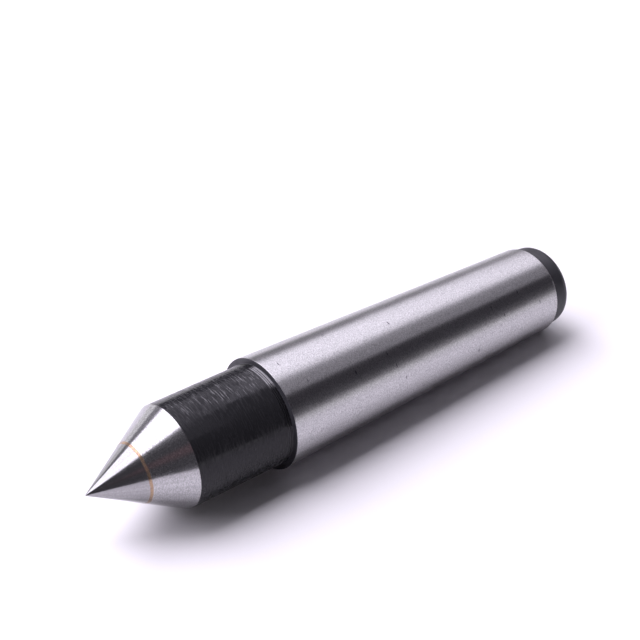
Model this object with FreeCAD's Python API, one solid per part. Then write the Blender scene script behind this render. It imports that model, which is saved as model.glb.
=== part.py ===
# Carbide-tipped dead center for a lathe, with a Morse taper no. 2 shank.
#
# Three pieces, as the real tool is made:
#   center_body  hardened steel: tail, ground taper, shoulder, black neck and the root of the cone
#   carbide_tip  sintered insert: the point of the cone and the shank hidden in the body
#   braze_joint  the filler metal that fills the socket round the insert and shows as a ring
#
# Millimetres. The axis lies along X and the point looks towards +X. The origin is the centre of
# the taper's gauge plane, the plane at which a Morse taper has its standard gauge diameter.

import FreeCAD, Part
import math
import os

# Morse taper no. 2 shank
GAUGE_DIAMETER = 17.780
TAPER_LENGTH_PER_MM = 20.020      # 1 mm on the diameter for every 20.020 mm of length
GAUGE_TO_SHOULDER = 5.0           # the taper runs this far past the gauge plane
SHANK_LENGTH = 57.2               # gauge plane to tail face

# Unground tail
TAIL_LENGTH = 4.0                 # end of the ground taper to the tail face
TAIL_RELIEF = 0.56                # radial step that keeps the tail clear of the socket: 14.0 mm tail
TAIL_CORNER_RADIUS = 1.5

# Center hole in the tail face, form A, which carries the tool while its taper is ground
PILOT_DIAMETER = 3.15
COUNTERSINK_DIAMETER = 6.7
COUNTERSINK_ANGLE = 60.0
PILOT_DEPTH = 6.8                 # tail face to the end of the full pilot diameter
DRILL_POINT_ANGLE = 118.0

# Head
SHOULDER_STEP = 0.915             # radial step from the shoulder down to the neck: 16.2 mm neck
SHOULDER_FILLET_RADIUS = 0.25
NECK_LENGTH = 16.7                # shoulder to the edge of the cone
POINT_ANGLE = 60.0                # included angle of the cone
POINT_RADIUS = 0.15

# Brazed insert
SOCKET_DIAMETER = 9.5
BRAZE_GAP = 0.2                   # filler between insert and socket, all round and under the insert
INSERT_LENGTH = 20.0              # sharp point of the cone to the insert's base
INSERT_CHAMFER = 0.5


def taper_radius(x):
    """Radius of the Morse taper at x."""
    return (GAUGE_DIAMETER + x / TAPER_LENGTH_PER_MM) / 2


# Stations along the axis, tail to point
TAIL_FACE_X = -SHANK_LENGTH
TAPER_END_X = TAIL_FACE_X + TAIL_LENGTH
SHOULDER_X = GAUGE_TO_SHOULDER
CONE_EDGE_X = SHOULDER_X + NECK_LENGTH

# Radii that follow from the sizes above
TAPER_END_RADIUS = taper_radius(TAPER_END_X)
TAIL_RADIUS = TAPER_END_RADIUS - TAIL_RELIEF
SHOULDER_RADIUS = taper_radius(SHOULDER_X)
NECK_RADIUS = SHOULDER_RADIUS - SHOULDER_STEP
SOCKET_RADIUS = SOCKET_DIAMETER / 2
INSERT_RADIUS = SOCKET_RADIUS - BRAZE_GAP

# The cone, measured back from its sharp point
CONE_SLOPE = math.tan(math.radians(POINT_ANGLE / 2))
SHARP_POINT_X = CONE_EDGE_X + NECK_RADIUS / CONE_SLOPE
INSERT_BASE_X = SHARP_POINT_X - INSERT_LENGTH
SOCKET_FLOOR_X = INSERT_BASE_X - BRAZE_GAP

AXIS_POINT = FreeCAD.Vector(0, 0, 0)
AXIS_DIRECTION = FreeCAD.Vector(1, 0, 0)
FULL_TURN = 360


def cone_x(radius):
    """Station at which the cone has this radius."""
    return SHARP_POINT_X - radius / CONE_SLOPE


def drilled_depth(diameter, angle):
    """Depth of the conical end that a drill or countersink of this included angle leaves."""
    return diameter / 2 / math.tan(math.radians(angle / 2))


class Profile:
    """Half section of a turned piece, drawn in the XZ plane as (x, radius) steps."""

    def __init__(self, x, radius):
        self.start = FreeCAD.Vector(x, 0, radius)
        self.here = self.start
        self.edges = []

    def line_to(self, x, radius):
        """Straight run to (x, radius)."""
        there = FreeCAD.Vector(x, 0, radius)
        self.edges.append(Part.LineSegment(self.here, there).toShape())
        self.here = there
        return self

    def arc_to(self, x, radius, center_x, center_radius):
        """Short arc to (x, radius) about a centre that is as far from both ends."""
        there = FreeCAD.Vector(x, 0, radius)
        center = FreeCAD.Vector(center_x, 0, center_radius)
        bisector = (self.here + there) * 0.5 - center
        middle = center + bisector.normalize() * (there - center).Length
        self.edges.append(Part.Arc(self.here, middle, there).toShape())
        self.here = there
        return self

    def turned(self):
        """Solid swept by the closed half section about the tool's axis."""
        self.line_to(self.start.x, self.start.z)
        section = Part.Face(Part.Wire(self.edges))
        return section.revolve(AXIS_POINT, AXIS_DIRECTION, FULL_TURN)


def draw_center_hole(profile):
    """Pilot with its drill point, then the countersink out to the tail face."""
    pilot_radius = PILOT_DIAMETER / 2
    countersink_radius = COUNTERSINK_DIAMETER / 2
    countersink_depth = drilled_depth(COUNTERSINK_DIAMETER - PILOT_DIAMETER, COUNTERSINK_ANGLE)
    profile.line_to(TAIL_FACE_X + PILOT_DEPTH, pilot_radius)
    profile.line_to(TAIL_FACE_X + countersink_depth, pilot_radius)
    profile.line_to(TAIL_FACE_X, countersink_radius)


def draw_tail_and_taper(profile):
    """Rounded tail, the bevel up to the ground taper, and the taper up to the shoulder's rim."""
    round_end_x = TAIL_FACE_X + TAIL_CORNER_RADIUS
    round_center = TAIL_RADIUS - TAIL_CORNER_RADIUS
    profile.line_to(TAIL_FACE_X, round_center)
    profile.arc_to(round_end_x, TAIL_RADIUS, round_end_x, round_center)
    profile.line_to(TAPER_END_X - TAIL_RELIEF, TAIL_RADIUS)
    profile.line_to(TAPER_END_X, TAPER_END_RADIUS)
    profile.line_to(SHOULDER_X, SHOULDER_RADIUS)


def draw_neck_and_cone(profile):
    """Shoulder face, its fillet, the neck, and the steel part of the cone up to the socket."""
    fillet = min(SHOULDER_FILLET_RADIUS, SHOULDER_STEP / 2)
    fillet_end_x = SHOULDER_X + fillet
    fillet_center = NECK_RADIUS + fillet
    profile.line_to(SHOULDER_X, fillet_center)
    profile.arc_to(fillet_end_x, NECK_RADIUS, fillet_end_x, fillet_center)
    profile.line_to(CONE_EDGE_X, NECK_RADIUS)
    profile.line_to(cone_x(SOCKET_RADIUS), SOCKET_RADIUS)


def make_center_body():
    """Hardened steel body, turned in one piece from tail to cone, with the insert's socket."""
    drill_tip_x = TAIL_FACE_X + PILOT_DEPTH + drilled_depth(PILOT_DIAMETER, DRILL_POINT_ANGLE)
    profile = Profile(drill_tip_x, 0)
    draw_center_hole(profile)
    draw_tail_and_taper(profile)
    draw_neck_and_cone(profile)
    profile.line_to(SOCKET_FLOOR_X, SOCKET_RADIUS)
    profile.line_to(SOCKET_FLOOR_X, 0)
    return profile.turned()


def make_carbide_tip():
    """Insert: chamfered base, straight shank, ground cone and the tiny round of its point."""
    nose_center_x = SHARP_POINT_X - POINT_RADIUS / math.sin(math.radians(POINT_ANGLE / 2))
    nose_rim_radius = POINT_RADIUS * math.cos(math.radians(POINT_ANGLE / 2))
    profile = Profile(INSERT_BASE_X, 0)
    profile.line_to(INSERT_BASE_X, INSERT_RADIUS - INSERT_CHAMFER)
    profile.line_to(INSERT_BASE_X + INSERT_CHAMFER, INSERT_RADIUS)
    profile.line_to(cone_x(INSERT_RADIUS), INSERT_RADIUS)
    profile.line_to(cone_x(nose_rim_radius), nose_rim_radius)
    profile.arc_to(nose_center_x + POINT_RADIUS, 0, nose_center_x, 0)
    return profile.turned()


def make_braze_joint():
    """Thin cup of filler between insert and socket, its rim ground flush with the cone."""
    profile = Profile(SOCKET_FLOOR_X, 0)
    profile.line_to(SOCKET_FLOOR_X, SOCKET_RADIUS)
    profile.line_to(cone_x(SOCKET_RADIUS), SOCKET_RADIUS)
    profile.line_to(cone_x(INSERT_RADIUS), INSERT_RADIUS)
    profile.line_to(INSERT_BASE_X + INSERT_CHAMFER, INSERT_RADIUS)
    profile.line_to(INSERT_BASE_X, INSERT_RADIUS - INSERT_CHAMFER)
    profile.line_to(INSERT_BASE_X, 0)
    return profile.turned()


os.makedirs("parts", exist_ok=True)
make_center_body().exportStep("parts/center_body.step")
make_carbide_tip().exportStep("parts/carbide_tip.step")
make_braze_joint().exportStep("parts/braze_joint.step")
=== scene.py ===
"""Looks of a carbide-tipped dead center for a lathe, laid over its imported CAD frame.

Three turned pieces stand for the three CAD nodes: the steel body, the carbide insert and the
braze ring between them. Lengths are metres. The axis lies along X, the point looks towards +X,
and the origin is the centre of the Morse taper's gauge plane.
"""

import logging
import math
from collections.abc import Mapping, Sequence
from dataclasses import dataclass
from enum import Enum
from typing import NamedTuple

import bpy
from mathutils import Matrix, Vector


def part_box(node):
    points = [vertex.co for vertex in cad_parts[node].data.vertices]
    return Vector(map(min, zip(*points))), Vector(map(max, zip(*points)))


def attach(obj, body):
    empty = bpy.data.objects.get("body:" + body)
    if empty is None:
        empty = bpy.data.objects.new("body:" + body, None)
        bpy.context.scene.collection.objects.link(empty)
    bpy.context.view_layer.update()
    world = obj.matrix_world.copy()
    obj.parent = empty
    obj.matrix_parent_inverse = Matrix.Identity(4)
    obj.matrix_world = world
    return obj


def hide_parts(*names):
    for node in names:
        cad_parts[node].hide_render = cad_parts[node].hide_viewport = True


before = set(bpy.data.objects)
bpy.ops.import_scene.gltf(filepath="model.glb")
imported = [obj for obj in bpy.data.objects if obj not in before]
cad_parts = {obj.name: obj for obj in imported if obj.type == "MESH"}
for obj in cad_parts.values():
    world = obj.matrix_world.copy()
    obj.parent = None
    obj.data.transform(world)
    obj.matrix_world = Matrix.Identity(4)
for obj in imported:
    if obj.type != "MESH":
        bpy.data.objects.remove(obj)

LOG = logging.getLogger("dead_center")
ROOT_BODY = "root"
MM = 0.001
MICRON = 1e-6
FULL_TURN = 2 * math.pi
SHARP_BEND = math.radians(25)          # edges that bend more than this are shaded as sharp
HOLD_GAP = 0.04 * MM                   # a rounded corner's holding points lie this close to it
MERGE_GAP = 1e-7                       # points closer than this are one, at the seam and the axis
MIX_COLOR_A = 6                        # a mix node's sockets share their names across its types,
MIX_COLOR_B = 7                        # so its colours go by number
MIX_COLOR_OUT = 2
SMOOTH = {"interpolation_type": "SMOOTHSTEP"}


# ---------------------------------------------------------------------------------------------
# Small helpers
# ---------------------------------------------------------------------------------------------


def linear_color(hex_code: str) -> tuple[float, float, float, float]:
    """Turns an sRGB hex code into the linear colour that sockets take.

    Args:
        hex_code: Colour such as "#C2BEC7".

    Returns:
        Red, green, blue and an alpha of 1.
    """
    channels = []
    for start in (1, 3, 5):
        value = int(hex_code[start:start + 2], 16) / 255
        if value <= 0.04045:
            channels.append(value / 12.92)
        else:
            channels.append(((value + 0.055) / 1.055) ** 2.4)
    return (*channels, 1.0)


def add_node(
    tree: bpy.types.NodeTree,
    kind: str,
    inputs: Mapping[str | int, object] | Sequence[object] = (),
    **settings: object,
) -> bpy.types.Node:
    """Adds a node, sets its properties, then fills its inputs.

    Args:
        tree: Shader or geometry tree that gets the node.
        kind: Node type, such as "ShaderNodeBump".
        inputs: Sockets, which are linked, or plain values. They are given by the input's name
            or number, or in the order of the node's inputs.
        **settings: Properties of the node itself, set before its inputs.

    Returns:
        The new node.
    """
    node = tree.nodes.new(kind)
    for name, value in settings.items():
        setattr(node, name, value)
    keyed = inputs if isinstance(inputs, Mapping) else dict(enumerate(inputs))
    for key, value in keyed.items():
        if isinstance(value, bpy.types.NodeSocket):
            tree.links.new(value, node.inputs[key])
        else:
            node.inputs[key].default_value = value
    return node


class Seed(Enum):
    """Place of each pattern in the noise's fourth dimension, so that none repeats another."""

    GRAIN = 1.0
    CLOUD = 2.0
    LINES = 3.0
    SCUFFS = 4.0
    MOTTLE = 5.0
    TOOTH = 6.0
    FAN = 8.0


class Ramp(NamedTuple):
    """A change between two levels, in the order of a Map Range node's inputs after its value.

    Attributes:
        low: Level at which the change begins, and below which the start holds.
        high: Level at which it ends, and above which the end holds.
        start: What the low level becomes.
        end: What the high level becomes.
    """

    low: float
    high: float
    start: float = 0.0
    end: float = 1.0


def unit(x: float, radial: float) -> tuple[float, float]:
    """Direction of a step in the half section, made one unit long."""
    length = math.hypot(x, radial)
    return x / length, radial / length


# ---------------------------------------------------------------------------------------------
# Finishes
# ---------------------------------------------------------------------------------------------


@dataclass(frozen=True)
class Finish:
    """A named surface finish that makes its own node material once."""

    name: str

    def material(self) -> bpy.types.Material:
        """Builds the material on first use.

        Returns:
            The material of this finish's name.
        """
        found = bpy.data.materials.get(self.name)
        if found:
            return found
        material = bpy.data.materials.new(self.name)
        material.use_nodes = True
        tree = material.node_tree
        tree.nodes.clear()
        shader = self.surface(tree)
        add_node(tree, "ShaderNodeOutputMaterial", {"Surface": shader.outputs[0]})
        return material

    def surface(self, tree: bpy.types.NodeTree) -> bpy.types.Node:
        """Adds the finish's shader nodes and returns the last one."""
        raise NotImplementedError

    @staticmethod
    def streaks(
        tree: bpy.types.NodeTree,
        pitch: float,
        length: float,
        seed: Seed,
        detail: float = 2.0,
    ) -> bpy.types.NodeSocket:
        """Noise drawn out round the axis, as a tool leaves it on a turning workpiece.

        Args:
            tree: The material's tree.
            pitch: Width of a streak along the axis.
            length: Length of a streak round the piece.
            seed: Which pattern it is.
            detail: Octaves of finer noise on top.

        Returns:
            The noise, about 0.5 on average.
        """
        place = add_node(tree, "ShaderNodeTexCoord").outputs["Object"]
        stretched = add_node(
            tree,
            "ShaderNodeMapping",
            {"Vector": place, "Scale": (1 / pitch, 1 / length, 1 / length)},
        )
        noise = add_node(
            tree,
            "ShaderNodeTexNoise",
            {"Vector": stretched.outputs[0], "W": seed.value, "Scale": 1.0,
             "Detail": detail},
            noise_dimensions="4D",
        )
        return noise.outputs[0]

    @staticmethod
    def layered(
        tree: bpy.types.NodeTree,
        base_hex: str,
        layers: Sequence[tuple[bpy.types.NodeSocket, str]],
    ) -> bpy.types.NodeSocket:
        """Lays colours over one another.

        Args:
            tree: The material's tree.
            base_hex: Colour at the bottom.
            layers: Share and colour of each layer over it, from the bottom up.

        Returns:
            The colour that shows.
        """
        color = linear_color(base_hex)
        for share, layer_hex in layers:
            mixed = add_node(
                tree,
                "ShaderNodeMix",
                {0: share, MIX_COLOR_A: color, MIX_COLOR_B: linear_color(layer_hex)},
                data_type="RGBA",
            )
            color = mixed.outputs[MIX_COLOR_OUT]
        return color


@dataclass(frozen=True)
class GroundSteel(Finish):
    """Hardened steel, cylindrically ground or lapped.

    The wheel leaves fine scratches round the piece, so highlights stay crisp across it and
    smear out along the axis. The eye sees a silky grey with a faint grain.
    """

    color_hex: str = "#C3C2C4"
    grain_hex: str = "#9D9C9E"
    nick_hex: str = "#4E4B52"
    roughness: float = 0.31
    roughness_swing: float = 0.01
    anisotropy: float = 0.84
    grain_pitch: float = 0.1 * MM      # 80 grit leaves finer lines; drawn coarse enough to show
    grain_length: float = 0.22 * MM
    grain_depth: float = 2.0 * MICRON
    grain_levels: Ramp = Ramp(0.35, 0.65)
    cloud_pitch: float = 2.5 * MM      # broad changes in the polish
    cloud_length: float = 5.0 * MM
    cloud_levels: tuple[float, float] = (0.3, 0.7)
    nick_spacing: float = 5.0 * MM
    nick_size: float = 0.5 * MM
    nick_slimness: float = 3.4         # length round the piece over width along it
    nick_share: float = 0.95           # how dark they get, 0 where handling leaves none
    fan_hex: str = "#8E8D8F"
    fan_count: float = 9.0             # noise cells across the piece
    fan_levels: tuple[float, float] = (0.42, 0.62)
    fan_share: float = 0.0             # strength of the darker streaks that run to the point

    def nicks(self, tree: bpy.types.NodeTree) -> bpy.types.NodeSocket:
        """Marks the few tiny dark nicks that handling leaves.

        Args:
            tree: The material's tree.

        Returns:
            Strength of the nick at each place, 0 between the nicks.
        """
        place = add_node(tree, "ShaderNodeTexCoord").outputs["Object"]
        pace = 1 / self.nick_spacing
        stretched = add_node(
            tree,
            "ShaderNodeMapping",
            {"Vector": place, "Scale": (pace * self.nick_slimness, pace, pace)},
        )
        cells = add_node(
            tree, "ShaderNodeTexVoronoi", {"Vector": stretched.outputs[0], "Scale": 1.0}
        )
        reach = self.nick_size * pace
        edge = Ramp(reach / 3, reach, self.nick_share, 0.0)
        marked = add_node(
            tree, "ShaderNodeMapRange", [cells.outputs["Distance"], *edge], **SMOOTH
        )
        return marked.outputs[0]

    def fan(self, tree: bpy.types.NodeTree) -> bpy.types.NodeSocket:
        """Darkens streaks that run straight to the point and depend on the side only.

        Args:
            tree: The material's tree.

        Returns:
            Strength of the streak on each side.
        """
        place = add_node(tree, "ShaderNodeTexCoord").outputs["Object"]
        outward = add_node(
            tree, "ShaderNodeVectorMath", [place, (0.0, 1.0, 1.0)], operation="MULTIPLY"
        )
        side = add_node(tree, "ShaderNodeVectorMath", [outward.outputs[0]], operation="NORMALIZE")
        noise = add_node(
            tree,
            "ShaderNodeTexNoise",
            {"Vector": side.outputs[0], "W": Seed.FAN.value, "Scale": self.fan_count,
             "Detail": 3.0},
            noise_dimensions="4D",
        )
        levels = Ramp(*self.fan_levels, 0.0, self.fan_share)
        return add_node(
            tree, "ShaderNodeMapRange", [noise.outputs[0], *levels], **SMOOTH
        ).outputs[0]

    def surface(self, tree: bpy.types.NodeTree) -> bpy.types.Node:
        """Adds the grain, its bump, the streaks, the nicks and a metal stretched along the axis.

        Args:
            tree: The material's tree.

        Returns:
            The shader node.
        """
        grain = self.streaks(tree, self.grain_pitch, self.grain_length, Seed.GRAIN, 1.0)
        cloud = self.streaks(tree, self.cloud_pitch, self.cloud_length, Seed.CLOUD)
        shade = add_node(tree, "ShaderNodeMapRange", [grain, *self.grain_levels], **SMOOTH)
        glosses = Ramp(
            *self.cloud_levels,
            self.roughness - self.roughness_swing,
            self.roughness + self.roughness_swing,
        )
        gloss = add_node(tree, "ShaderNodeMapRange", [cloud, *glosses], **SMOOTH)
        relief = add_node(
            tree,
            "ShaderNodeBump",
            {"Height": grain, "Strength": 1.0, "Distance": self.grain_depth},
        )
        layers = [
            (shade.outputs[0], self.grain_hex),
            (self.fan(tree), self.fan_hex),
            (self.nicks(tree), self.nick_hex),
        ]
        lengthwise = add_node(tree, "ShaderNodeCombineXYZ", {"X": 1.0})
        return add_node(
            tree,
            "ShaderNodeBsdfPrincipled",
            {
                "Base Color": self.layered(tree, self.color_hex, layers),
                "Metallic": 1.0,
                "Roughness": gloss.outputs[0],
                "Anisotropic": self.anisotropy,
                "Tangent": lengthwise.outputs[0],
                "Normal": relief.outputs[0],
            },
        )


@dataclass(frozen=True)
class BlackOxide(Finish):
    """Hot black oxide over turned steel, left as it came off the lathe.

    The coat is thin, so the turning lines stay sharp. The eye sees a satin black that turns
    grey only where it mirrors something bright at a low angle. Rubs through to bare steel are
    kept to the top, where the lamp glints on them, which is a painted glint on real wear.
    """

    color_hex: str = "#202022"
    bare_hex: str = "#A09FA2"
    roughness: float = 0.2
    gloss_swing: float = 0.13
    sheen_hex: str = "#FAF8FF"
    refraction: float = 1.32
    line_pitch: float = 0.24 * MM      # fine turning lines left by the finishing cut
    line_length: float = 1.6 * MM
    line_depth: float = 9.0 * MICRON
    line_levels: Ramp = Ramp(0.48, 0.62)
    gloss_levels: tuple[float, float] = (0.38, 0.62)
    scuff_pitch: float = 0.11 * MM
    scuff_length: float = 2.4 * MM
    scuff_depth: float = 4.0 * MICRON
    scuff_share: float = 0.61          # noise level above which the coat counts as rubbed
    scuff_edge: float = 0.08           # how much higher it is rubbed through
    # Rubs reach bare steel only on the top, where the lamp glints: real wear, with a painted glint
    # in where it lies.
    glint_side_wear: float = 0.42                 # how far the worst rubs go through to bare steel
    glint_side: tuple[float, float, float] = (0.0, 0.12, 0.99)
    glint_reach: tuple[float, float] = (7.6 * MM, 8.05 * MM)

    def bare(
        self, tree: bpy.types.NodeTree, rubbed: bpy.types.NodeSocket
    ) -> bpy.types.NodeSocket:
        """Finds the share of bare steel: high in the rubs, and only on the top, where the lamp
        glints on them. The rubs are real wear; keeping them to the lit top is a painted glint.

        Args:
            tree: The material's tree.
            rubbed: Strength of the rub at each place.

        Returns:
            The share of bare steel.
        """
        place = add_node(tree, "ShaderNodeTexCoord").outputs["Object"]
        depth = add_node(
            tree, "ShaderNodeVectorMath", [place, self.glint_side], operation="DOT_PRODUCT"
        ).outputs["Value"]
        # Painted glint: bare steel is kept to the top, where it mirrors the lamp.
        glint_side_levels = Ramp(*self.glint_reach, 0.0, self.glint_side_wear)
        glint_side_share = add_node(tree, "ShaderNodeMapRange", [depth, *glint_side_levels], **SMOOTH)
        return add_node(
            tree, "ShaderNodeMath", [rubbed, glint_side_share.outputs[0]], operation="MULTIPLY"
        ).outputs[0]

    def surface(self, tree: bpy.types.NodeTree) -> bpy.types.Node:
        """Adds turning lines, short rubbed streaks and the satin coat.

        Args:
            tree: The material's tree.

        Returns:
            The shader node.
        """
        marks = self.streaks(tree, self.line_pitch, self.line_length, Seed.LINES)
        lines = add_node(tree, "ShaderNodeMapRange", [marks, *self.line_levels], **SMOOTH)
        scuffs = self.streaks(tree, self.scuff_pitch, self.scuff_length, Seed.SCUFFS, 1.0)
        rubs = Ramp(self.scuff_share, self.scuff_share + self.scuff_edge)
        rubbed = add_node(tree, "ShaderNodeMapRange", [scuffs, *rubs], **SMOOTH).outputs[0]
        glosses = Ramp(
            *self.gloss_levels,
            self.roughness - self.gloss_swing,
            self.roughness + self.gloss_swing,
        )
        gloss = add_node(tree, "ShaderNodeMapRange", [marks, *glosses], **SMOOTH)
        turned = add_node(
            tree,
            "ShaderNodeBump",
            {"Height": lines.outputs[0], "Strength": 1.0, "Distance": self.line_depth},
        )
        relief = add_node(
            tree,
            "ShaderNodeBump",
            {"Height": rubbed, "Strength": 1.0, "Distance": self.scuff_depth,
             "Normal": turned.outputs[0]},
        )
        # Bare steel on the top only, where the lamp glints: painted glint over real rubs.
        bare = self.bare(tree, rubbed)
        return add_node(
            tree,
            "ShaderNodeBsdfPrincipled",
            {
                "Base Color": self.layered(tree, self.color_hex, [(bare, self.bare_hex)]),
                "Metallic": bare,
                "Specular Tint": linear_color(self.sheen_hex),
                "Roughness": gloss.outputs[0],
                "IOR": self.refraction,
                "Normal": relief.outputs[0],
            },
        )


@dataclass(frozen=True)
class BrazeFiller(Finish):
    """Brass-coloured brazing filler, ground flush with the cone.

    It flowed hot into the joint, so it is mottled from gold to coppery brown. A thin tarnish
    keeps some colour where it mirrors the dark, and it still glares under the lamp.
    """

    color_hex: str = "#B0967A"
    mottle_hex: str = "#8C776C"
    roughness: float = 0.13
    polish: float = 0.8                # share that is clean metal, the rest is tarnish
    mottle_size: float = 0.25 * MM
    mottle_depth: float = 8.0 * MICRON
    mottle_levels: Ramp = Ramp(0.35, 0.65)

    def surface(self, tree: bpy.types.NodeTree) -> bpy.types.Node:
        """Adds the mottle and a satin metal.

        Args:
            tree: The material's tree.

        Returns:
            The shader node.
        """
        mottle = self.streaks(tree, self.mottle_size, self.mottle_size, Seed.MOTTLE, 3.0)
        shade = add_node(tree, "ShaderNodeMapRange", [mottle, *self.mottle_levels], **SMOOTH)
        color = self.layered(tree, self.color_hex, [(shade.outputs[0], self.mottle_hex)])
        relief = add_node(
            tree,
            "ShaderNodeBump",
            {"Height": mottle, "Strength": 1.0, "Distance": self.mottle_depth},
        )
        return add_node(
            tree,
            "ShaderNodeBsdfPrincipled",
            {
                "Base Color": color,
                "Metallic": self.polish,
                "Roughness": self.roughness,
                "Normal": relief.outputs[0],
            },
        )


@dataclass(frozen=True)
class StudioPaper(Finish):
    """Matt white background paper under the tool, with a faint tooth."""

    color_hex: str = "#DCDBDD"
    tooth_size: float = 0.4 * MM
    tooth_depth: float = 5.0 * MICRON

    def surface(self, tree: bpy.types.NodeTree) -> bpy.types.Node:
        """Adds the tooth and a matt surface.

        Args:
            tree: The material's tree.

        Returns:
            The shader node.
        """
        tooth = self.streaks(tree, self.tooth_size, self.tooth_size, Seed.TOOTH)
        relief = add_node(
            tree,
            "ShaderNodeBump",
            {"Height": tooth, "Strength": 0.2, "Distance": self.tooth_depth},
        )
        return add_node(
            tree,
            "ShaderNodeBsdfDiffuse",
            {"Color": linear_color(self.color_hex), "Normal": relief.outputs[0]},
        )


class ToolFinish(Enum):
    """Every finish on the tool, by where it is found."""

    SHANK = GroundSteel("Cylindrically ground hardened steel")
    CONE = GroundSteel(
        "Finely ground cone of hardened steel",
        color_hex="#BDBCBE",
        grain_hex="#979698",
        roughness=0.2,
        anisotropy=0.7,
        grain_length=0.25 * MM,
        grain_depth=1.0 * MICRON,
        nick_share=0.0,
        fan_share=0.25,
    )
    CARBIDE = GroundSteel(
        "Diamond ground tungsten carbide",
        color_hex="#A9A8AA",
        grain_hex="#908F91",
        roughness=0.17,
        anisotropy=0.6,
        grain_pitch=0.08 * MM,
        grain_depth=1.0 * MICRON,
        nick_share=0.0,
        fan_share=0.6,
    )
    CREST = BlackOxide(
        "Burnished black oxide",
        color_hex="#121214",
        roughness=0.14,
        gloss_swing=0.03,
        refraction=1.4,
        line_depth=0.5 * MICRON,
        scuff_depth=0.0,
        scuff_share=0.2,
        glint_side_wear=0.5,
        # Painted glint: the crests are bare only on top, where they mirror the lamp.
        glint_side=(0.0, 0.156, 0.988),
        glint_reach=(7.6 * MM, 7.9 * MM),
    )
    # Its rubs are bare only on top, where the lamp glints: painted glint over real rubs.
    NECK = BlackOxide("Black oxide on turned steel")
    SHOULDER = BlackOxide(
        "Black oxide on the faced shoulder",
        color_hex="#303034",
        roughness=0.4,
        gloss_swing=0.05,
        refraction=1.4,
        line_depth=3.0 * MICRON,
        glint_side_wear=0.0,
    )
    TAIL = BlackOxide(
        "Black oxide on the rough tail",
        color_hex="#2A2A2D",
        roughness=0.42,
        gloss_swing=0.05,
        refraction=1.42,
        line_depth=0.8 * MICRON,
        scuff_depth=0.0,
        glint_side_wear=0.0,
    )
    BRAZE = BrazeFiller("Brass brazing filler")


# ---------------------------------------------------------------------------------------------
# Turned pieces
# ---------------------------------------------------------------------------------------------


@dataclass(frozen=True)
class Corner:
    """One corner of a half section, and the run that leaves it.

    Attributes:
        x: Station along the axis.
        r: Radius there.
        finish: Finish of the run up to the next corner.
        rounding: Radius that blends the corner, 0 for a sharp one.
        drift: How far turning marks or an uneven edge may move the corner, as (x, radius).
    """

    x: float
    r: float
    finish: ToolFinish
    rounding: float = 0.0
    drift: tuple[float, float] = (0.0, 0.0)


@dataclass(frozen=True)
class OutlinePoint:
    """A finished point of the half section, with the finish of the step after it."""

    x: float
    r: float
    finish: ToolFinish
    drift: tuple[float, float]


def rounded_outline(corners: Sequence[Corner], arc_steps: int = 8) -> list[OutlinePoint]:
    """Turns corners into the points of a smooth half section.

    Each rounded corner becomes an arc between two holding points, which keep the shading of
    the long runs flat.

    Args:
        corners: The half section from one end on the axis to the other.
        arc_steps: Steps along each arc.

    Returns:
        The outline's points in the same order.
    """
    points = []
    for index, corner in enumerate(corners):
        if not corner.rounding:
            points.append(OutlinePoint(corner.x, corner.r, corner.finish, corner.drift))
            continue
        before = corners[index - 1]
        after = corners[index + 1]
        arrive = unit(corner.x - before.x, corner.r - before.r)
        leave = unit(after.x - corner.x, after.r - corner.r)
        cross = arrive[0] * leave[1] - arrive[1] * leave[0]
        turn = math.atan2(cross, arrive[0] * leave[0] + arrive[1] * leave[1])
        reach = corner.rounding * math.tan(abs(turn) / 2)
        hold = reach + min(reach * 0.35, HOLD_GAP)
        side = math.copysign(1.0, turn)
        center_x = corner.x - arrive[0] * reach - arrive[1] * side * corner.rounding
        center_r = corner.r - arrive[1] * reach + arrive[0] * side * corner.rounding
        points.append(
            OutlinePoint(
                corner.x - arrive[0] * hold,
                corner.r - arrive[1] * hold,
                before.finish,
                corner.drift,
            )
        )
        for step in range(arc_steps + 1):
            angle = turn * step / arc_steps
            sine = math.sin(angle)
            cosine = math.cos(angle)
            out_x = arrive[1] * side
            out_r = -arrive[0] * side
            points.append(
                OutlinePoint(
                    center_x + corner.rounding * (out_x * cosine - out_r * sine),
                    center_r + corner.rounding * (out_x * sine + out_r * cosine),
                    before.finish if step < arc_steps / 2 else corner.finish,
                    corner.drift,
                )
            )
        points.append(
            OutlinePoint(
                corner.x + leave[0] * hold,
                corner.r + leave[1] * hold,
                corner.finish,
                corner.drift,
            )
        )
    return points


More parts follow.
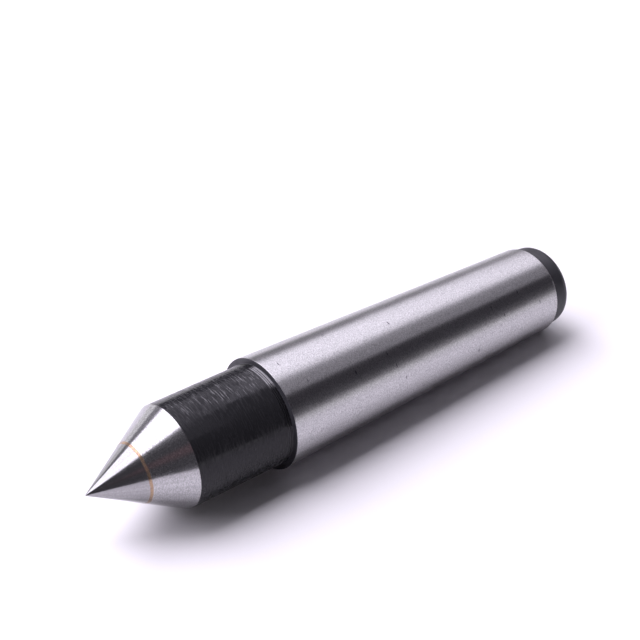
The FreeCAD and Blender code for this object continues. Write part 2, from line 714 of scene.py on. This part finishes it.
class LatheTree:
    """Geometry Nodes tree that turns an outline into a closed piece of revolution."""

    SEGMENTS = "Segments"
    MARK_PITCH = "Mark pitch"
    WOBBLE = "Wobble"
    SEED = "Seed"

    def __init__(self, name: str, finish_count: int) -> None:
        """Builds the tree.

        Args:
            name: Name of the node group.
            finish_count: How many finishes the outline's zones call for.
        """
        self.tree = bpy.data.node_groups.new(name, "GeometryNodeTree")
        self.identifiers: dict[str, str] = {}
        face = self.tree.interface
        face.new_socket("Outline", in_out="INPUT", socket_type="NodeSocketGeometry")
        face.new_socket("Piece", in_out="OUTPUT", socket_type="NodeSocketGeometry")
        self._add_input(self.SEGMENTS, "NodeSocketInt")
        self._add_input(self.MARK_PITCH, "NodeSocketFloat")
        self._add_input(self.WOBBLE, "NodeSocketFloat")
        self._add_input(self.SEED, "NodeSocketFloat")
        for zone in range(finish_count):
            self._add_input(self.finish_input(zone), "NodeSocketMaterial")
        self.given = add_node(self.tree, "NodeGroupInput")
        self._build(finish_count)

    @staticmethod
    def finish_input(zone: int) -> str:
        """Name of the input that holds a zone's finish."""
        return f"Finish {zone}"

    def _add_input(self, name: str, kind: str) -> None:
        """Adds a named input and notes its identifier."""
        socket = self.tree.interface.new_socket(name, in_out="INPUT", socket_type=kind)
        self.identifiers[name] = socket.identifier

    def _sampled(self, name: str, kind: str, index: bpy.types.NodeSocket) -> bpy.types.NodeSocket:
        """Reads a named attribute of the outline at an index.

        Args:
            name: Attribute of the outline's points.
            kind: Its data type.
            index: Which point.

        Returns:
            The attribute's value there.
        """
        attribute = add_node(
            self.tree, "GeometryNodeInputNamedAttribute", {"Name": name}, data_type=kind
        )
        sample = add_node(
            self.tree,
            "GeometryNodeSampleIndex",
            {"Geometry": self.given.outputs["Outline"], "Value": attribute.outputs[0],
             "Index": index},
            data_type=kind,
        )
        return sample.outputs[0]

    def _row(self, width: bpy.types.NodeSocket) -> bpy.types.NodeSocket:
        """Finds which row of the grid a point or a face is in.

        Args:
            width: How many of them a row holds.

        Returns:
            The row's number.
        """
        index = add_node(self.tree, "GeometryNodeInputIndex")
        rows = add_node(
            self.tree, "ShaderNodeMath", [index.outputs[0], width], operation="DIVIDE"
        )
        return add_node(
            self.tree, "ShaderNodeMath", [rows.outputs[0]], operation="FLOOR"
        ).outputs[0]

    def _swing(
        self, place: bpy.types.NodeSocket, angle: bpy.types.NodeSocket
    ) -> bpy.types.NodeSocket:
        """Draws the uneven edge: noise on a tube round the axis, wobble units in radius.

        Args:
            place: The outline's point, as (station, 0, radius).
            angle: How far round the axis it has been rolled.

        Returns:
            The share of its drift that the point takes, from about -1 to 1.
        """
        station = add_node(self.tree, "ShaderNodeSeparateXYZ", [place]).outputs["X"]
        marks = add_node(
            self.tree,
            "ShaderNodeMath",
            [station, self.given.outputs[self.MARK_PITCH]],
            operation="DIVIDE",
        )
        spoke = add_node(
            self.tree,
            "ShaderNodeCombineXYZ",
            {"X": marks.outputs[0], "Z": self.given.outputs[self.WOBBLE]},
        )
        where = add_node(
            self.tree,
            "ShaderNodeVectorRotate",
            {"Vector": spoke.outputs[0], "Angle": angle},
            rotation_type="X_AXIS",
            invert=True,
        )
        noise = add_node(
            self.tree,
            "ShaderNodeTexNoise",
            {"Vector": where.outputs[0], "W": self.given.outputs[self.SEED],
             "Scale": 1.0, "Detail": 2.0},
            noise_dimensions="4D",
        )
        return add_node(
            self.tree, "ShaderNodeMath", [noise.outputs[0], 2.0, -1.0], operation="MULTIPLY_ADD"
        ).outputs[0]

    def _build(self, finish_count: int) -> None:
        """Adds the nodes: a grid is rolled round the axis, closed, shaded and finished.

        Args:
            finish_count: How many finishes the outline's zones call for.
        """
        tree = self.tree
        outline = self.given.outputs["Outline"]
        segments = self.given.outputs[self.SEGMENTS]
        size = add_node(tree, "GeometryNodeAttributeDomainSize", {"Geometry": outline})
        columns = add_node(tree, "ShaderNodeMath", [segments, 1.0], operation="ADD").outputs[0]
        grid = add_node(
            tree,
            "GeometryNodeMeshGrid",
            {"Vertices X": size.outputs["Point Count"], "Vertices Y": columns},
        )
        index = add_node(tree, "GeometryNodeInputIndex").outputs[0]
        column = add_node(tree, "ShaderNodeMath", [index, columns], operation="MODULO")
        turn = add_node(tree, "ShaderNodeMath", [column.outputs[0], segments], operation="DIVIDE")
        angle = add_node(
            tree, "ShaderNodeMath", [turn.outputs[0], FULL_TURN], operation="MULTIPLY"
        ).outputs[0]
        ring = self._row(columns)
        place = self._sampled("place", "FLOAT_VECTOR", ring)
        drifted = add_node(
            tree,
            "ShaderNodeVectorMath",
            [self._sampled("drift", "FLOAT_VECTOR", ring), self._swing(place, angle), place],
            operation="MULTIPLY_ADD",
        )
        rolled = add_node(
            tree,
            "ShaderNodeVectorRotate",
            {"Vector": drifted.outputs[0], "Angle": angle},
            rotation_type="X_AXIS",
        )
        moved = add_node(
            tree,
            "GeometryNodeSetPosition",
            {"Geometry": grid.outputs["Mesh"], "Position": rolled.outputs[0]},
        )
        stored = add_node(
            tree,
            "GeometryNodeStoreNamedAttribute",
            {"Geometry": moved.outputs[0], "Name": "zone",
             "Value": self._sampled("zone", "INT", self._row(segments))},
            data_type="INT",
            domain="FACE",
        )
        closed = add_node(
            tree,
            "GeometryNodeMergeByDistance",
            {"Geometry": stored.outputs[0], "Distance": MERGE_GAP},
        )
        smooth = add_node(tree, "GeometryNodeSetShadeSmooth", {"Geometry": closed.outputs[0]})
        bend = add_node(tree, "GeometryNodeInputMeshEdgeAngle").outputs["Unsigned Angle"]
        bent = add_node(tree, "ShaderNodeMath", [bend, SHARP_BEND], operation="GREATER_THAN")
        sharp = add_node(
            tree,
            "GeometryNodeSetShadeSmooth",
            {
                "Geometry": smooth.outputs[0],
                "Selection": bent.outputs[0],
                "Shade Smooth": False,
            },
            domain="EDGE",
        )
        piece = add_node(tree, "GeometryNodeRealizeInstances", {"Geometry": sharp.outputs[0]})
        kept_zone = add_node(
            tree, "GeometryNodeInputNamedAttribute", {"Name": "zone"}, data_type="INT"
        )
        for number in range(finish_count):
            chosen = add_node(
                tree,
                "FunctionNodeCompare",
                {2: kept_zone.outputs[0], 3: number},
                data_type="INT",
                operation="EQUAL",
            )
            piece = add_node(
                tree,
                "GeometryNodeSetMaterial",
                {"Geometry": piece.outputs[0], "Selection": chosen.outputs[0],
                 "Material": self.given.outputs[self.finish_input(number)]},
            )
        add_node(tree, "NodeGroupOutput", {"Piece": piece.outputs[0]})


@dataclass
class TurnedPiece:
    """A piece of revolution about the tool's axis that stands for one CAD node."""

    name: str
    node: str
    slot: str
    segments: int = 192
    mark_pitch: float = 0.2 * MM
    wobble: float = 0.0
    seed: float = 0.0

    def corners(self) -> list[Corner]:
        """Half section of the piece, from axis to axis."""
        raise NotImplementedError

    def _outline_object(self, zones: dict[ToolFinish, int]) -> bpy.types.Object:
        """Makes the object that carries the outline's points and attributes.

        Args:
            zones: Number of each finish.

        Returns:
            An object whose mesh is the bare outline.
        """
        points = rounded_outline(self.corners())
        steps = [(number, number + 1) for number in range(len(points) - 1)]
        mesh = bpy.data.meshes.new(self.name)
        mesh.from_pydata([(point.x, 0.0, point.r) for point in points], steps, [])
        places = [(point.x, 0.0, point.r) for point in points]
        drifts = [(point.drift[0], 0.0, point.drift[1]) for point in points]
        for name, vectors in (("place", places), ("drift", drifts)):
            attribute = mesh.attributes.new(name, "FLOAT_VECTOR", "POINT")
            attribute.data.foreach_set("vector", [part for vector in vectors for part in vector])
        zone = mesh.attributes.new("zone", "INT", "POINT")
        zone.data.foreach_set("value", [zones[point.finish] for point in points])
        piece = bpy.data.objects.new(self.name, mesh)
        bpy.context.scene.collection.objects.link(piece)
        return piece

    def build(self) -> bpy.types.Object:
        """Turns the outline, dresses the piece and puts it in its CAD node's place.

        Returns:
            The finished piece.
        """
        finishes = list(dict.fromkeys(corner.finish for corner in self.corners()))
        zones = {finish: number for number, finish in enumerate(finishes)}
        piece = self._outline_object(zones)
        lathe = LatheTree(f"Turn {self.name}", len(finishes))
        modifier = piece.modifiers.new("Lathe", "NODES")
        modifier.node_group = lathe.tree
        modifier[lathe.identifiers[LatheTree.SEGMENTS]] = self.segments
        modifier[lathe.identifiers[LatheTree.MARK_PITCH]] = self.mark_pitch
        modifier[lathe.identifiers[LatheTree.WOBBLE]] = self.wobble
        modifier[lathe.identifiers[LatheTree.SEED]] = self.seed
        for finish, number in zones.items():
            identifier = lathe.identifiers[LatheTree.finish_input(number)]
            modifier[identifier] = finish.value.material()
        bpy.context.view_layer.update()
        evaluated = piece.evaluated_get(bpy.context.evaluated_depsgraph_get())
        turned = bpy.data.meshes.new_from_object(evaluated)
        turned.name = self.name
        for attribute in ("place", "drift", "zone"):
            if attribute in turned.attributes:
                turned.attributes.remove(turned.attributes[attribute])
        piece.modifiers.clear()
        piece.data = turned
        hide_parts(self.node)
        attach(piece, ROOT_BODY)
        LOG.info("%s: %d points, %d faces", self.name, len(turned.vertices), len(turned.polygons))
        return piece


@dataclass
class MorseShank:
    """Sizes of the ground taper and its unground tail."""

    gauge_diameter: float = 17.780 * MM
    taper_length_ratio: float = 20.020     # length along the axis per unit of diameter
    gauge_to_shoulder: float = 5.0 * MM
    tail_length: float = 4.0 * MM
    tail_relief: float = 0.56 * MM
    tail_corner: float = 1.5 * MM
    tail_face_x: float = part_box("center_body")[0].x

    @property
    def slope(self) -> float:
        """Growth of the radius for each unit along the axis."""
        return 0.5 / self.taper_length_ratio

    def radius(self, x: float) -> float:
        """Radius of the taper at a station."""
        return self.gauge_diameter / 2 + self.slope * x

    @property
    def taper_end_x(self) -> float:
        """Station where the ground taper ends and the tail begins."""
        return self.tail_face_x + self.tail_length

    @property
    def tail_radius(self) -> float:
        """Radius of the tail."""
        return self.radius(self.taper_end_x) - self.tail_relief


@dataclass
class Point:
    """Sizes of the 60 degree cone and of the insert brazed into it."""

    half_angle: float = math.radians(30)
    nose_radius: float = 0.15 * MM
    braze_gap: float = 0.2 * MM
    insert_chamfer: float = 0.5 * MM
    tip_x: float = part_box("carbide_tip")[1].x
    insert_base_x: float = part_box("carbide_tip")[0].x
    insert_radius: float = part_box("carbide_tip")[1].z

    @property
    def sharp_x(self) -> float:
        """Station of the cone's sharp point, just in front of the rounded tip."""
        return self.tip_x + self.nose_radius * (1 / math.sin(self.half_angle) - 1)

    @property
    def socket_radius(self) -> float:
        """Radius of the socket that holds the insert."""
        return self.insert_radius + self.braze_gap

    @property
    def socket_floor_x(self) -> float:
        """Station of the socket's floor."""
        return self.insert_base_x - self.braze_gap

    def station(self, radius: float) -> float:
        """Station at which the cone has a radius."""
        return self.sharp_x - radius / math.tan(self.half_angle)


@dataclass
class CenterBody(TurnedPiece):
    """Steel body from the tail to the cone's root, with the insert's socket."""

    shank: MorseShank | None = None
    point: Point | None = None
    neck_diameter: float = 16.2 * MM
    fillet: float = 0.12 * MM
    edge_break: float = 0.08 * MM
    bright_bevel: float = 0.2 * MM         # rim of the tail's bevel that the wheel touched
    pilot_diameter: float = 3.15 * MM
    countersink_diameter: float = 6.7 * MM
    pilot_depth: float = 6.8 * MM
    countersink_half_angle: float = math.radians(30)
    drill_half_angle: float = math.radians(59)
    crest_count: int = 3
    crest_pitch: float = 0.32 * MM
    crest_rise: float = 0.04 * MM          # steep side, towards the shoulder
    crest_fall: float = 0.12 * MM          # shallow side, towards the point
    crest_height: float = 0.055 * MM

    def _center_hole(self) -> list[Corner]:
        """Draws the pilot with its drill point, then the countersink out to the tail face.

        Returns:
            The hole's corners.
        """
        pilot_r = self.pilot_diameter / 2
        sink_r = self.countersink_diameter / 2
        face_x = self.shank.tail_face_x
        pilot_end_x = face_x + self.pilot_depth
        sink_depth = (sink_r - pilot_r) / math.tan(self.countersink_half_angle)
        return [
            Corner(pilot_end_x + pilot_r / math.tan(self.drill_half_angle), 0.0, ToolFinish.TAIL),
            Corner(pilot_end_x, pilot_r, ToolFinish.TAIL),
            Corner(face_x + sink_depth, pilot_r, ToolFinish.CONE),
            Corner(face_x, sink_r, ToolFinish.TAIL, self.edge_break),
        ]

    def _shank(self) -> list[Corner]:
        """Draws the rounded tail, its bevel, and the ground taper up to the shoulder's rim.

        Returns:
            The corners from the tail's round to the shoulder's rim.
        """
        shank = self.shank
        bevel_x = shank.taper_end_x - shank.tail_relief
        bright_x = shank.taper_end_x - self.bright_bevel
        shoulder_x = shank.gauge_to_shoulder
        return [
            Corner(shank.tail_face_x, shank.tail_radius, ToolFinish.TAIL, shank.tail_corner),
            Corner(bevel_x, shank.tail_radius, ToolFinish.TAIL, 2 * self.edge_break),
            Corner(
                bright_x,
                shank.radius(shank.taper_end_x) - self.bright_bevel,
                ToolFinish.SHANK,
            ),
            Corner(
                shank.taper_end_x,
                shank.radius(shank.taper_end_x),
                ToolFinish.SHANK,
                self.bright_bevel,
            ),
            Corner(shoulder_x, shank.radius(shoulder_x), ToolFinish.SHOULDER, self.edge_break),
        ]

    def _neck(self) -> list[Corner]:
        """Draws the shoulder fillet, the crests beside it, bare only on top where the lamp glints
        as a painted glint, and the neck to the cone's edge.

        Returns:
            The corners from the fillet to the cone's edge.
        """
        neck_r = self.neck_diameter / 2
        shoulder_x = self.shank.gauge_to_shoulder
        corners = [Corner(shoulder_x, neck_r, ToolFinish.CREST, self.fillet)]
        first_x = shoulder_x + self.fillet + HOLD_GAP
        for number in range(self.crest_count):
            start_x = first_x + number * self.crest_pitch
            peak_x = start_x + self.crest_rise
            peak_r = neck_r + self.crest_height
            corners.append(Corner(start_x, neck_r, ToolFinish.CREST))
            corners.append(Corner(peak_x, peak_r, ToolFinish.CREST, self.crest_rise / 2))
            corners.append(Corner(peak_x + self.crest_fall, neck_r, ToolFinish.NECK))
        corners.append(
            Corner(self.point.station(neck_r), neck_r, ToolFinish.CONE, self.edge_break)
        )
        return corners

    def _socket(self) -> list[Corner]:
        """Draws the mouth of the socket on the cone, its bore and its floor.

        Returns:
            The socket's corners.
        """
        radius = self.point.socket_radius
        return [
            Corner(self.point.station(radius), radius, ToolFinish.CONE),
            Corner(self.point.socket_floor_x, radius, ToolFinish.CONE),
            Corner(self.point.socket_floor_x, 0.0, ToolFinish.CONE),
        ]

    def corners(self) -> list[Corner]:
        """Half section from the center hole's end round to the socket's floor."""
        return self._center_hole() + self._shank() + self._neck() + self._socket()


@dataclass
class CarbideTip(TurnedPiece):
    """Insert: chamfered base, hidden shank, and the point of the cone."""

    point: Point | None = None
    nose_steps: int = 4

    def corners(self) -> list[Corner]:
        """Draws the half section from the base round to the nose.

        Returns:
            The corners in order, the nose's arc last.
        """
        point = self.point
        radius = point.insert_radius
        finish = ToolFinish.CARBIDE
        corners = [
            Corner(point.insert_base_x, 0.0, finish),
            Corner(point.insert_base_x, radius - point.insert_chamfer, finish),
            Corner(point.insert_base_x + point.insert_chamfer, radius, finish),
            Corner(point.station(radius), radius, finish),
        ]
        nose_center_x = point.sharp_x - point.nose_radius / math.sin(point.half_angle)
        for step in range(self.nose_steps + 1):
            angle = (math.pi / 2 - point.half_angle) * (1 - step / self.nose_steps)
            x = nose_center_x + point.nose_radius * math.cos(angle)
            corners.append(Corner(x, point.nose_radius * math.sin(angle), finish))
        return corners


@dataclass
class BrazeJoint(TurnedPiece):
    """Cup of filler round the insert; its rim shows as a fine golden ring."""

    point: Point | None = None
    stand_proud: float = 0.008 * MM
    smear: float = 0.01 * MM           # how far grinding drew the soft rim over its neighbours
    stray: float = 0.07 * MM           # how far the uneven rim wanders along the cone

    def corners(self) -> list[Corner]:
        """Draws the half section from the cup's floor round its rim and back inside.

        Returns:
            The corners in order.
        """
        point = self.point
        finish = ToolFinish.BRAZE
        outer = point.socket_radius
        inner = point.insert_radius
        wide = outer + self.smear
        narrow = inner - self.smear
        along = (self.stray * math.cos(point.half_angle), -self.stray * math.sin(point.half_angle))
        lift_x = self.stand_proud * math.sin(point.half_angle)
        lift_r = self.stand_proud * math.cos(point.half_angle)
        return [
            Corner(point.socket_floor_x, 0.0, finish),
            Corner(point.socket_floor_x, outer, finish),
            Corner(point.station(outer), outer, finish),
            Corner(point.station(wide) + lift_x, wide + lift_r, finish, 0.0, along),
            Corner(point.station(narrow) + lift_x, narrow + lift_r, finish, 0.0, along),
            Corner(point.station(inner), inner, finish),
            Corner(point.insert_base_x + point.insert_chamfer, inner, finish),
            Corner(point.insert_base_x, inner - point.insert_chamfer, finish),
            Corner(point.insert_base_x, 0.0, finish),
        ]


# ---------------------------------------------------------------------------------------------
# Studio
# ---------------------------------------------------------------------------------------------


@dataclass(frozen=True)
class LampPanel:
    """A soft panel level with the floor, lighting straight down.

    Attributes:
        name: Name of the lamp.
        along: Its low and high ends along the tool, as shares of its height.
        across: Its low and high ends across the tool, as shares of its height.
        radiance: Light it gives off, where a strength of 1 is white.
    """

    name: str
    along: tuple[float, float]
    across: tuple[float, float]
    radiance: float


@dataclass
class Studio:
    """Pale floor, soft panels, dim room and camera round the tool."""

    shank: MorseShank
    floor_reach: float = 0.4
    paper_edge: float = 0.12           # the sheet ends this far in front of the tool
    lamp_height: float = 1.0
    lamp_hex: str = "#F8F3FF"
    paper: StudioPaper = StudioPaper("Matt white background paper")
    room_hex: str = "#3A383F"
    lit_room_hex: str = "#57555B"
    screen_hex: str = "#98959E"
    wall_hex: str = "#FCF9FF"
    wall_strength: float = 1.3
    glow_hex: str = "#8C6A70"
    glow_way: Vector = Vector((0.46, 0.684, 0.566))
    glow_spread: Ramp = Ramp(0.975, 0.998, 0.0, 0.6)
    near_side: Ramp = Ramp(-0.1, 0.1)              # across, from the far side to the near one
    far_wall_top: Ramp = Ramp(-0.55, 0.05, 0.07, 0.31)
    near_wall_top: Ramp = Ramp(-0.5, 0.3, 0.04, -0.15)
    wall_edge: Ramp = Ramp(-0.03, 0.03)            # soft edge between lit wall and dim room
    far_light: Ramp = Ramp(-0.1, 0.15)             # along, where the far side grows paler
    near_light: Ramp = Ramp(0.0, 0.4)              # along, where the near side grows paler
    camera_place: Vector = Vector((108.93, 133.88, 123.57)) * MM
    camera_heading: float = math.radians(-130.08)
    camera_drop: float = math.radians(33.13)
    camera_lens: float = 78.14
    panels: tuple[LampPanel, ...] = (
        LampPanel("Key panel", (-0.3, 1.7), (-1.45, 0.025), 3.0),
        LampPanel("Key strip", (0.0, 0.45), (-1.45, 0.02), 7.2),
        LampPanel("Key end", (0.6, 1.7), (-1.0, 0.02), 2.8),
        LampPanel("Key edge", (-0.78, -0.3), (-1.46, 0.03), 0.9),
        LampPanel("Key wing", (-1.5, -0.78), (-1.46, 0.03), 2.2),
        LampPanel("Ceiling bounce", (-1.4, -0.4), (0.03, 0.75), 0.55),
    )

    def floor_axes(self) -> Matrix:
        """Axes of the floor the tool lies on: along it, across it and up.

        Returns:
            Matrix whose columns are those axes, with the spot under the origin as its place.
        """
        tilt = math.atan(self.shank.slope)
        along = Vector((math.cos(tilt), 0.0, -math.sin(tilt)))
        across = Vector((0.0, 1.0, 0.0))
        up = Vector((math.sin(tilt), 0.0, math.cos(tilt)))
        axes = Matrix((along, across, up)).transposed().to_4x4()
        axes.translation = Vector((0.0, 0.0, -self.shank.radius(0.0)))
        return axes

    def add_floor(self) -> None:
        """Lays a sheet of paper that touches the taper all along its underside."""
        reach = self.floor_reach
        edge = self.paper_edge
        corners = [(-reach, -reach), (reach, -reach), (reach, edge), (-reach, edge)]
        axes = self.floor_axes()
        mesh = bpy.data.meshes.new("Floor")
        mesh.from_pydata([axes @ Vector((x, y, 0.0)) for x, y in corners], [], [(0, 1, 2, 3)])
        mesh.materials.append(self.paper.material())
        floor = bpy.data.objects.new("Floor", mesh)
        bpy.context.scene.collection.objects.link(floor)

    def add_lamp(self, panel: LampPanel) -> None:
        """Hangs one soft panel over the floor.

        Args:
            panel: Where it hangs and how bright it is.
        """
        length = (panel.along[1] - panel.along[0]) * self.lamp_height
        width = (panel.across[1] - panel.across[0]) * self.lamp_height
        middle = Vector(
            (
                sum(panel.along) / 2 * self.lamp_height,
                sum(panel.across) / 2 * self.lamp_height,
                self.lamp_height,
            )
        )
        light = bpy.data.lights.new(panel.name, "AREA")
        light.shape = "RECTANGLE"
        light.size = length
        light.size_y = width
        light.energy = panel.radiance * math.pi * length * width
        light.color = linear_color(self.lamp_hex)[:3]
        lamp = bpy.data.objects.new(panel.name, light)
        lamp.matrix_world = self.floor_axes() @ Matrix.Translation(middle)
        lamp.visible_camera = False
        bpy.context.scene.collection.objects.link(lamp)

    def add_room(self) -> None:
        """Fills the dim room round the panels, pale only low down, where the wall is lit."""
        world = bpy.data.worlds.new("Room")
        world.use_nodes = True
        tree = world.node_tree
        tree.nodes.clear()
        up = self.floor_axes().to_3x3().col[2]
        way = add_node(tree, "ShaderNodeTexCoord").outputs["Generated"]
        height = add_node(
            tree, "ShaderNodeVectorMath", [way, up], operation="DOT_PRODUCT"
        ).outputs["Value"]
        facing = add_node(
            tree, "ShaderNodeVectorMath", [way, self.glow_way], operation="DOT_PRODUCT"
        ).outputs["Value"]
        parts = add_node(tree, "ShaderNodeSeparateXYZ", [way])
        along = parts.outputs["X"]
        across = parts.outputs["Y"]
        ramps = (
            (across, self.near_side),
            (along, self.far_wall_top),
            (along, self.near_wall_top),
            (along, self.far_light),
            (along, self.near_light),
            (facing, self.glow_spread),
        )
        near, far_top, near_top, far_light, near_light, glow = (
            add_node(tree, "ShaderNodeMapRange", [value, *ramp], **SMOOTH).outputs[0]
            for value, ramp in ramps
        )
        wall_top = add_node(tree, "ShaderNodeMix", {0: near, 2: far_top, 3: near_top})
        above = add_node(
            tree, "ShaderNodeMath", [height, wall_top.outputs[0]], operation="SUBTRACT"
        )
        dark = add_node(
            tree, "ShaderNodeMapRange", [above.outputs[0], *self.wall_edge], **SMOOTH
        ).outputs[0]
        far_room = Finish.layered(tree, self.room_hex, [(far_light, self.screen_hex)])
        near_room = Finish.layered(tree, self.room_hex, [(near_light, self.lit_room_hex)])
        both_rooms = add_node(
            tree,
            "ShaderNodeMix",
            {0: near, MIX_COLOR_A: far_room, MIX_COLOR_B: near_room},
            data_type="RGBA",
        ).outputs[MIX_COLOR_OUT]
        warmed = add_node(
            tree,
            "ShaderNodeMix",
            {0: glow, MIX_COLOR_A: both_rooms, MIX_COLOR_B: linear_color(self.glow_hex)},
            data_type="RGBA",
        ).outputs[MIX_COLOR_OUT]
        dim = add_node(tree, "ShaderNodeBackground", {"Color": warmed, "Strength": 1.0})
        wall = add_node(
            tree,
            "ShaderNodeBackground",
            {"Color": linear_color(self.wall_hex), "Strength": self.wall_strength},
        )
        seen = add_node(tree, "ShaderNodeLightPath").outputs["Is Camera Ray"]
        hidden = add_node(
            tree, "ShaderNodeMath", [dark, seen], operation="SUBTRACT", use_clamp=True
        ).outputs[0]
        mixed = add_node(
            tree, "ShaderNodeMixShader", [hidden, wall.outputs[0], dim.outputs[0]]
        )
        add_node(tree, "ShaderNodeOutputWorld", {"Surface": mixed.outputs[0]})
        bpy.context.scene.world = world

    def add_camera(self) -> None:
        """Sets the camera above and beside the point, looking down at the tool."""
        axes = self.floor_axes().to_3x3()
        level = Vector((math.cos(self.camera_heading), math.sin(self.camera_heading), 0.0))
        forward = level * math.cos(self.camera_drop)
        forward.z = -math.sin(self.camera_drop)
        forward = axes @ forward
        right = forward.cross(axes.col[2]).normalized()
        up = right.cross(forward)
        data = bpy.data.cameras.new("Camera")
        data.lens = self.camera_lens
        data.clip_start = 0.01
        data.clip_end = 50.0
        camera = bpy.data.objects.new("Camera", data)
        placed = Matrix((right, up, -forward)).transposed().to_4x4()
        placed.translation = self.camera_place
        camera.matrix_world = placed
        bpy.context.scene.collection.objects.link(camera)
        bpy.context.scene.camera = camera

    def build(self) -> None:
        """Sets up floor, lamps, room, camera and the plain view transform."""
        self.add_floor()
        for panel in self.panels:
            self.add_lamp(panel)
        self.add_room()
        self.add_camera()
        bpy.context.scene.view_settings.view_transform = "Standard"


def main() -> None:
    """Builds the pieces and the studio."""
    logging.basicConfig(level=logging.INFO, format="%(name)s: %(message)s")
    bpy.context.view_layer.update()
    shank = MorseShank()
    point = Point()
    pieces = [
        CenterBody("Body", "center_body", "ground_steel", shank=shank, point=point),
        CarbideTip("Carbide_point", "carbide_tip", "ground_carbide", point=point),
        BrazeJoint(
            "Braze_ring", "braze_joint", "braze_filler", wobble=9.0, mark_pitch=50 * MM, point=point
        ),
    ]
    for piece in pieces:
        piece.build()
    Studio(shank).build()


if __name__ == "__main__":
    main()
